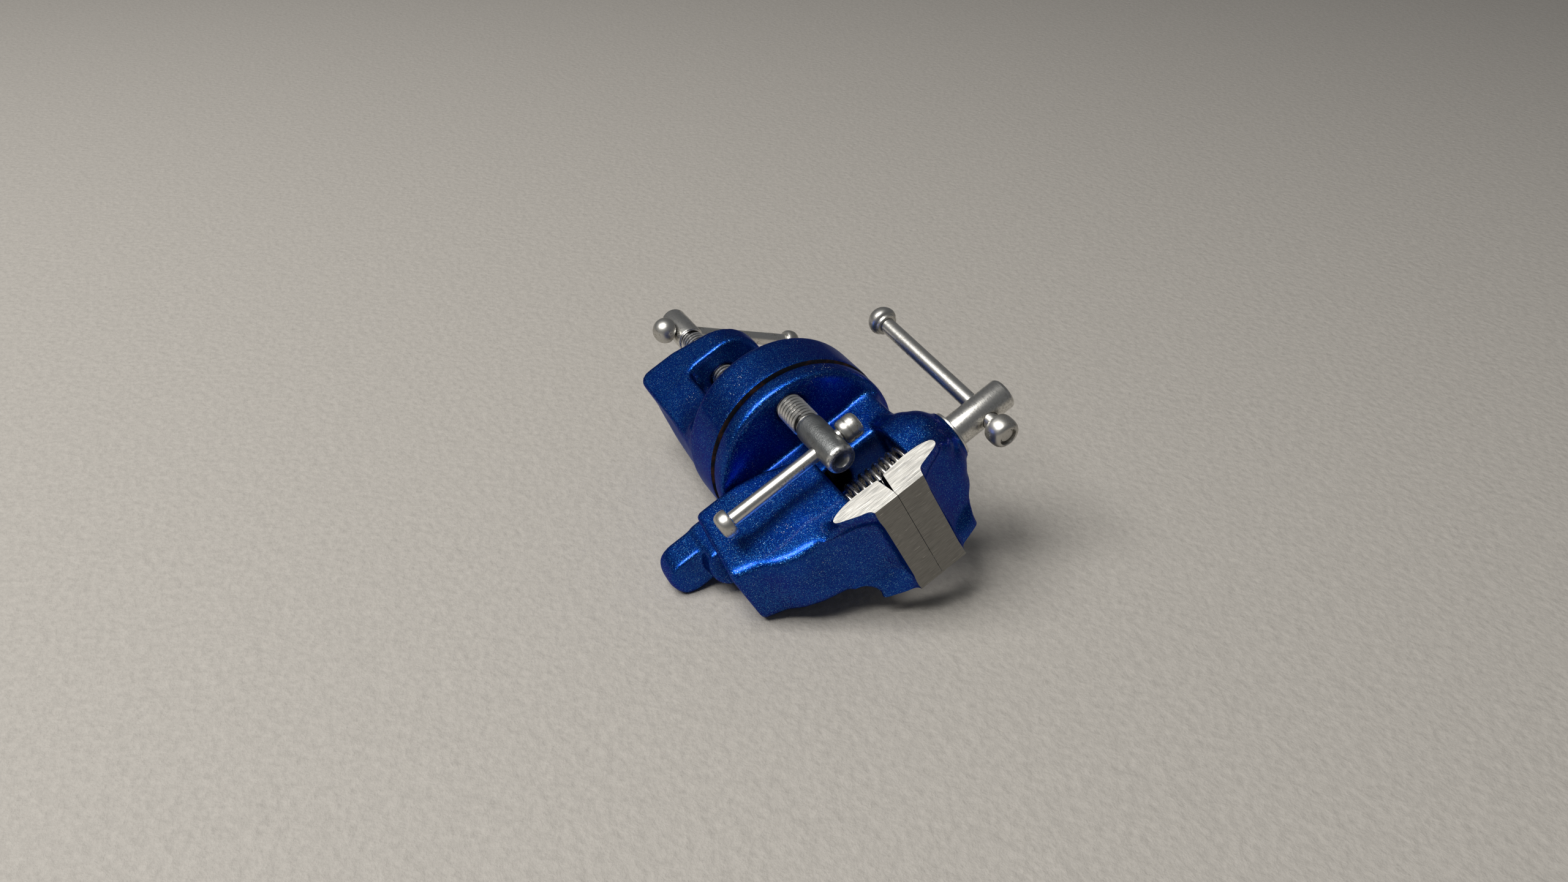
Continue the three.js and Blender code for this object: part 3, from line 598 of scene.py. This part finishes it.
def mix_finishes(scene):
    """Makes each finish once, so that pieces share it."""
    if not finishes:
        finishes["paint"] = enamel(scene.vise_paint)
        finishes["ground"] = ground_steel(scene.vise_steel, 1.0, "ground steel")
        # The jaw tops get a darker copy of the ground steel: painted shade for the shadowed floor they
        # reflect.
        finishes["worn"] = ground_steel(scene.vise_steel, 0.34, "painted shade ground steel")
        finishes["rust"] = groove_rust()
        finishes["plating"] = plating(scene.vise_steel, "speckled plating", 1.0, 0.3)
        finishes["knob"] = plating(scene.vise_steel, "rough plating", 0.74, 0.38)
        finishes["screw"] = screw_steel(scene.vise_steel, "mottled steel")
        # The clamp screw: mottled steel with painted shade and highlight on its thread.
        finishes["thread"] = screw_steel(scene.vise_steel, "threaded steel", -0.0409)
        finishes["zinc"] = dull_zinc(scene.vise_steel)
        finishes["black"] = black_oxide()
        finishes["wire"] = spring_wire()
    return finishes


# ---- Operators ----
class VISE_OT_stage(bpy.types.Operator):
    """Adds the camera, the floor that the vise lies on and the soft light"""

    bl_idname = "vise.stage"
    bl_label = "Camera, floor and light"

    def execute(self, context):
        scene = context.scene
        settings = scene.vise_stage
        scene.view_settings.view_transform = "Standard"

        lens = bpy.data.cameras.new("camera")
        lens.lens = 26.72
        lens.sensor_width = 36.0
        lens.clip_start = 0.01
        camera = bpy.data.objects.new("camera", lens)
        scene.collection.objects.link(camera)
        look = (CAMERA_LOOK - CAMERA_LOOK.dot(CAMERA_RIGHT) * CAMERA_RIGHT).normalized()
        top = CAMERA_RIGHT.cross(look)
        turn = Matrix((CAMERA_RIGHT, top, -look)).transposed().to_4x4()
        camera.matrix_world = Matrix.Translation(CAMERA_PLACE) @ turn
        scene.camera = camera

        # The floor and the lamp over it lie square to the camera's direction along the floor.
        away = (look - look.dot(FLOOR_NORMAL) * FLOOR_NORMAL).normalized()
        aside = away.cross(FLOOR_NORMAL)
        level = Matrix((aside, away, FLOOR_NORMAL)).transposed().to_4x4()
        bpy.ops.object.select_all(action="DESELECT")
        bpy.ops.mesh.primitive_plane_add(size=2.4)
        floor = context.object
        floor.name = "floor"
        floor.data.transform(Matrix.Translation(FLOOR_TOUCH + away * 0.3) @ level)
        floor.data.materials.append(floor_cloth(settings))

        vise_middle = Vector((0.0, 5.0, 15.0)) * MM
        lamp = bpy.data.lights.new("overhead", "AREA")
        lamp.shape = "RECTANGLE"
        lamp.size = 0.9
        lamp.size_y = 0.58
        lamp.energy = settings.key_power
        lamp.color = (1.0, 0.985, 0.955)
        overhead = bpy.data.objects.new("overhead", lamp)
        scene.collection.objects.link(overhead)
        place = vise_middle + FLOOR_NORMAL * 1.05 - aside * 0.58 - away * 0.28
        overhead.matrix_world = Matrix.Translation(place) @ level

        world = bpy.data.worlds.new("room")
        world.use_nodes = True
        room = world.node_tree.nodes["Background"].inputs
        room["Color"].default_value = (0.92, 0.95, 1.0, 1.0)
        room["Strength"].default_value = settings.world_light
        scene.world = world
        return {"FINISHED"}


def jaw_trims(facing):
    """Cuts for a jaw: its top, its two ends, the face that meets the other jaw and the relief under it."""
    above = lambda x, y, z: z > JAW_ROOT
    under = lambda x, y, z: z > JAW_ROOT + 1.8
    face = JAW_PLANE - facing * JAW_GAP / 2
    fall = JAW_RELIEF - JAW_GAP / 2
    relief = Vector((0, facing * (JAW_LAND - JAW_UNDER), -fall)).normalized()
    return [
        (above, (0, 0, JAW_TOP), (0, 0, 1)),
        (above, (JAW_HALF, 0, 0), (1, 0, 0)),
        (above, (-JAW_HALF, 0, 0), (-1, 0, 0)),
        (above, (0, face, 0), (0, facing, 0)),
        (under, (0, face, JAW_LAND), relief),
    ]


def jaw_lifts(facing):
    """Before a jaw is softened its ground faces are moved out, so that the cuts leave sharp edges."""
    face = JAW_PLANE - facing * JAW_GAP / 2
    relief = JAW_PLANE - facing * JAW_RELIEF
    inwards = (0, CUT_SPARE * facing, 0)
    return [
        (lambda x, y, z: z > JAW_TOP - 0.3, (0, 0, CUT_SPARE)),
        (lambda x, y, z: (z > JAW_ROOT) & (x > JAW_HALF - CLOSE), (CUT_SPARE, 0, 0)),
        (lambda x, y, z: (z > JAW_ROOT) & (x < CLOSE - JAW_HALF), (-CUT_SPARE, 0, 0)),
        (lambda x, y, z: (z > JAW_ROOT) & (np.abs(y - face) < 0.02), inwards),
        (lambda x, y, z: (z > JAW_ROOT) & (np.abs(y - relief) < 0.02), inwards),
    ]


def jaw_faces(facing, looks):
    """The ground faces of a jaw and their finishes: the top gets a darker copy of the ends' steel, as painted
    shade.
    """
    top, *others = [(place, way) for _, place, way in jaw_trims(facing)]
    return [(looks["worn"], *top), *((looks["ground"], *other) for other in others)]


def back_of_bar(x, y, z):
    """The back of the movable jaw, near the two ends of its bar."""
    return (np.abs(x) > 8.2) & (np.abs(x) < 12.2) & (z > 36) & (y > JAW_PLANE + 2.5)


class VISE_OT_castings(bpy.types.Operator):
    """Grows the clamp frame, the fixed jaw body and the movable jaw as painted castings"""

    bl_idname = "vise.castings"
    bl_label = "Castings"

    def execute(self, context):
        looks = mix_finishes(context.scene)
        base = cast(
            "clamp_frame", "clamp_frame_casting",
            [(lambda x, y, z: z > BASE_TOP - CLOSE, (0, 0, SHARP_SPARE))],
            [(everything, (0, 0, BASE_SEAT), (0, 0, 1))],
        )
        bare_faces(base, looks["paint"], [(looks["rust"], (0, 0, BASE_SEAT), (0, 0, 1))])
        dress(base, "base", stands_for=["clamp_frame"])

        fixed = cast(
            "fixed_jaw_body", "fixed_jaw_casting",
            [
                *jaw_lifts(1),
                (lambda x, y, z: y < BOSS_FACE + CLOSE, (0, -CUT_SPARE, 0)),
            ],
            [
                *jaw_trims(1),
                (everything, (0, 0, DISC_UNDER), (0, 0, -1)),
                (everything, (0, BOSS_FACE, 0), (0, -1, 0)),
            ],
        )
        bare_faces(fixed, looks["paint"], jaw_faces(1, looks))
        dress(fixed, "vise_body", stands_for=["fixed_jaw_body"])

        # The back of the movable jaw runs out to the ends of its bar in one long sweep.
        movable = cast(
            "movable_jaw", "movable_jaw_casting", jaw_lifts(-1), jaw_trims(-1), softer=back_of_bar,
        )
        bare_faces(movable, looks["paint"], jaw_faces(-1, looks))
        dress(movable, "sliding_jaw", stands_for=["movable_jaw"])
        return {"FINISHED"}


# ---- Round pieces ----
def dome(radius, start, height, steps=7, tip=0.25):
    """A quarter of an ellipse, from the side of a knob to its tip."""
    points = []
    for step in range(steps + 1):
        angle = step / steps * math.pi / 2
        points.append((max(radius * math.cos(angle), tip), start + height * math.sin(angle)))
    return points


# Each knob's outline, as (radius, distance from its face on the bar).
KNOBS = {
    "main_bar_near_knob": [
        (2.2, 0.1), (2.6, 0.2), (2.9, 0.55), (3.06, 1.1), (3.1, 1.9), (3.08, 2.7), (2.93, 3.4),
        (2.6, 3.92), (2.2, 4.18), (1.95, 4.2), (1.84, 4.1), (1.76, 3.3), (1.5, 3.25), (1.44, 3.58),
        (1.34, 3.68), (0.3, 3.7),
    ],
    "main_bar_far_knob": [
        (2.1, 0.1), (2.35, 0.18), (2.45, 0.45), (2.42, 0.75), (2.7, 0.9), (2.98, 1.25),
        *dome(3.1, 1.75, 2.93),
    ],
    "lock_bar_near_knob": [
        (1.8, 0.1), (2.15, 0.2), (2.42, 0.6), (2.5, 1.3), (2.48, 1.58), (2.3, 1.72), (2.3, 1.78),
        (2.48, 1.92), (2.5, 2.86), (2.43, 2.93), (2.43, 3.0), (2.49, 3.07), (2.42, 3.5), (2.15, 4.0),
        (1.7, 4.24), (1.0, 4.3), (0.3, 4.3),
    ],
    "lock_bar_far_knob": [
        (2.2, 0.1), (2.5, 0.16), (2.66, 0.42), (2.7, 1.0), (2.66, 1.7), (2.5, 2.3), (2.1, 2.75),
        (1.5, 2.95), (0.8, 3.0), (0.3, 3.0),
    ],
    "clamp_bar_near_knob": [(2.3, 0.1), (2.65, 0.2), (2.9, 0.55), (3.05, 1.1), *dome(3.1, 1.6, 3.0)],
    "clamp_bar_far_knob": [(2.0, 0.1), (2.3, 0.2), (2.55, 0.55), (2.66, 1.05), *dome(2.7, 1.6, 2.6)],
}

# Each bar: its body, its place on its screw's axis and its direction, then its radius and how far it
# reaches from that axis to its near knob and to its far knob.
BARS = {
    "main": ("main_handle", (0, -30.7, AXIS), MAIN_BAR_WAY, 1.7, 4.45, 31.2),
    "lock": ("lock_handle", (14.1, -2.2, 30.3), (0, 1, 0), 1.45, 3.2, 22.6),
    "clamp": ("clamp_handle", (0, 1.5, -45.53), CLAMP_BAR_WAY, 1.6, 3.45, 29.0),
}


class VISE_OT_bars(bpy.types.Operator):
    """Turns the sliding bars and their knobs"""

    bl_idname = "vise.bars"
    bl_label = "Bars and knobs"

    def execute(self, context):
        looks = mix_finishes(context.scene)
        for name, (body, place, way, radius, near, reach) in BARS.items():
            way = Vector(way).normalized()
            place = Vector(place)
            rod = turned(f"{name}_bar_rod", [(radius, -near + 0.02), (radius, reach - 0.02)])
            rod.data.transform(aim(place, way))
            dress(rod, body, looks["plating"], [f"{name}_bar"])
            for end, face, side in (("near", -near, -1), ("far", reach, 1)):
                node = f"{name}_bar_{end}_knob"
                knob = turned(f"{node}_turned", KNOBS[node])
                knob.data.transform(aim(place + way * face, way * side))
                dress(knob, body, looks["knob"], [node])
        return {"FINISHED"}


class VISE_OT_screws(bpy.types.Operator):
    """Turns the three screws, with their threads, cross holes and punched heads"""

    bl_idname = "vise.screws"
    bl_label = "Screws"

    def execute(self, context):
        looks = mix_finishes(context.scene)
        pitch = context.scene.vise_thread

        # The lock stud, from its tip in the disc up to its punched head.
        low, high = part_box("lock_screw")
        tip, end = low.z / MM, high.z / MM
        stud = turned("lock_stud", [
            (2.1, tip), (2.4, tip + 0.3), (2.42, 22.5), (2.75, 23.2), (2.95, 23.7), (3.0, 24.3),
            (3.0, end - 0.75), (2.93, end - 0.4), (2.7, end - 0.12), (2.35, end), (1.95, end - 0.02),
            (1.6, end - 0.15), (1.35, end - 0.5), (0.9, end - 0.8), (0.2, end - 0.85),
        ])
        threaded(stud, 2.92, 0.52, pitch.lock_pitch, tip + 0.6, 23.0)
        stud.data.transform(aim(STUD, UP))
        bored(stud, 1.56, BARS["lock"][1], ALONG)
        dress(stud, "lock_spindle", looks["zinc"], ["lock_screw"])

        # The main screw, made from its tip at the jaw nut to its head, then laid along the jaws' travel.
        low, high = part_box("main_screw")
        tip, end = -high.y / MM, -low.y / MM
        main = turned("main_spindle_screw", [
            (1.8, tip), (2.05, tip + 0.3), (2.08, end - 13.1), (3.1, end - 13.08), (3.25, end - 12.9),
            (3.25, end - 0.75), (3.1, end - 0.45), (2.75, end - 0.12), (2.45, end), (1.5, end),
            (1.3, end - 0.25), (0.9, end - 0.5), (0.2, end - 0.5),
        ])
        threaded(main, 2.5, 0.42, pitch.main_pitch, tip + 0.5, end - 24.0)
        main.data.transform(aim((0, 0, AXIS), -ALONG))
        bored(main, 1.82, BARS["main"][1], BARS["main"][2])
        dress(main, "main_spindle", looks["screw"], ["main_screw"])

        # The clamp screw, from its head under the arm up to the neck in its pad.
        low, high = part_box("clamp_screw")
        end, tip = low.z / MM, high.z / MM
        clamp = turned("clamp_spindle_screw", [
            (0.3, end + 0.5), (1.1, end + 0.45), (1.4, end), (2.5, end), (2.95, end + 0.22),
            (3.2, end + 0.6), (3.25, end + 1.0), (3.25, end + 11.0), (3.1, end + 11.4),
            (2.8, end + 11.55), (2.5, end + 11.6), (2.5, tip - 2.3), (2.4, tip - 1.9),
            (2.0, tip - 1.8), (2.0, tip),
        ])
        threaded(clamp, 3.0, 0.5, pitch.clamp_pitch, end + 12.3, tip - 2.5)
        clamp.data.transform(aim(CLAMP_AXIS, UP))
        bored(clamp, 1.72, BARS["clamp"][1], BARS["clamp"][2])
        dress(clamp, "clamp_spindle", looks["thread"], ["clamp_screw"])
        return {"FINISHED"}


class VISE_OT_small(bpy.types.Operator):
    """Turns the clamp pad and the washer, and finishes the small pieces that stay as they are"""

    bl_idname = "vise.small"
    bl_label = "Pad, washer, nut and pivot"

    def execute(self, context):
        looks = mix_finishes(context.scene)
        low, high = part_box("clamp_pad")
        under, top = low.z / MM, high.z / MM
        pad = turned("clamp_pad_turned", [
            (3.0, under), (3.3, under + 0.15), (4.7, top - 1.7), (5.1, top - 1.35), (5.2, top - 1.0),
            (5.2, top - 0.4), (5.05, top - 0.1), (4.8, top), (3.6, top), (3.4, top - 0.12),
            (0.3, top - 0.12),
        ])
        pad.data.transform(aim(CLAMP_AXIS, UP))
        bored(pad, 2.08, (0, 1.5, under - 18.3), UP)
        dress(pad, "clamp_foot", looks["screw"], ["clamp_pad"])

        low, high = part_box("main_washer")
        near, far = low.y / MM, high.y / MM
        washer = turned("main_washer_turned", [
            (4.7, -far), (4.85, -far + 0.05), (4.9, -far + 0.16), (4.9, -near - 0.16), (4.85, -near - 0.05),
            (4.7, -near),
        ])
        washer.data.transform(aim((0, 0, AXIS), -ALONG))
        bored(washer, 2.58, (0, near, AXIS), ALONG)
        dress(washer, "vise_body", looks["plating"], ["main_washer"])

        for node, finish in (("pivot_screw", "black"), ("pivot_washer", "black"), ("jaw_nut", "zinc")):
            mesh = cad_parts[node].data
            mesh.materials.clear()
            mesh.materials.append(looks[finish])
        return {"FINISHED"}


class VISE_OT_spring(bpy.types.Operator):
    """Winds the return spring round the main screw"""

    bl_idname = "vise.spring"
    bl_label = "Return spring"

    def execute(self, context):
        looks = mix_finishes(context.scene)
        low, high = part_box("return_spring")
        wire, radius, turns = 0.5, 4.5, 9
        first, last = low.y / MM + wire, high.y / MM - wire
        bpy.ops.object.select_all(action="DESELECT")
        bpy.ops.mesh.primitive_circle_add(
            vertices=20, radius=wire * MM, fill_type="NOTHING", rotation=(math.pi / 2, 0, 0),
            location=(radius * MM, 0, 0),
        )
        spring = context.object
        spring.name = "return_spring_wire"
        bpy.ops.object.transform_apply(location=True, rotation=True, scale=True)
        finish_modifier(
            spring, "SCREW", axis="Z", angle=2 * math.pi, screw_offset=(last - first) / turns * MM,
            iterations=turns, steps=40, render_steps=40, use_normal_calculate=True,
        )
        close_ends(spring)
        spring.data.transform(Matrix.Translation((0, first * MM, AXIS * MM)) @ aim((0, 0, 0), ALONG))
        shade(spring, 60.0)
        dress(spring, None, looks["wire"], ["return_spring"])
        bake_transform(spring)
        return {"FINISHED"}


classes = (
    PaintSettings, SteelSettings, CastingSettings, ThreadSettings, StageSettings,
    VISE_OT_stage, VISE_OT_castings, VISE_OT_screws, VISE_OT_bars, VISE_OT_small, VISE_OT_spring,
)
steps = [kind.bl_idname for kind in classes if issubclass(kind, bpy.types.Operator)]


class VISE_PT_panel(bpy.types.Panel):
    bl_label = "Bench vise"
    bl_space_type = "VIEW_3D"
    bl_region_type = "UI"
    bl_category = "Vise"

    def draw(self, context):
        for step in steps:
            self.layout.operator(step)


def register():
    for kind in (*classes, VISE_PT_panel):
        bpy.utils.register_class(kind)
    bpy.types.Scene.vise_paint = bpy.props.PointerProperty(type=PaintSettings)
    bpy.types.Scene.vise_steel = bpy.props.PointerProperty(type=SteelSettings)
    bpy.types.Scene.vise_casting = bpy.props.PointerProperty(type=CastingSettings)
    bpy.types.Scene.vise_thread = bpy.props.PointerProperty(type=ThreadSettings)
    bpy.types.Scene.vise_stage = bpy.props.PointerProperty(type=StageSettings)


def unregister():
    for name in ("vise_paint", "vise_steel", "vise_casting", "vise_thread", "vise_stage"):
        delattr(bpy.types.Scene, name)
    for kind in reversed((*classes, VISE_PT_panel)):
        bpy.utils.unregister_class(kind)


def main():
    register()
    for step in steps:
        group, name = step.split(".")
        getattr(getattr(bpy.ops, group), name)()
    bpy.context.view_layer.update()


if __name__ == "__main__":
    main()
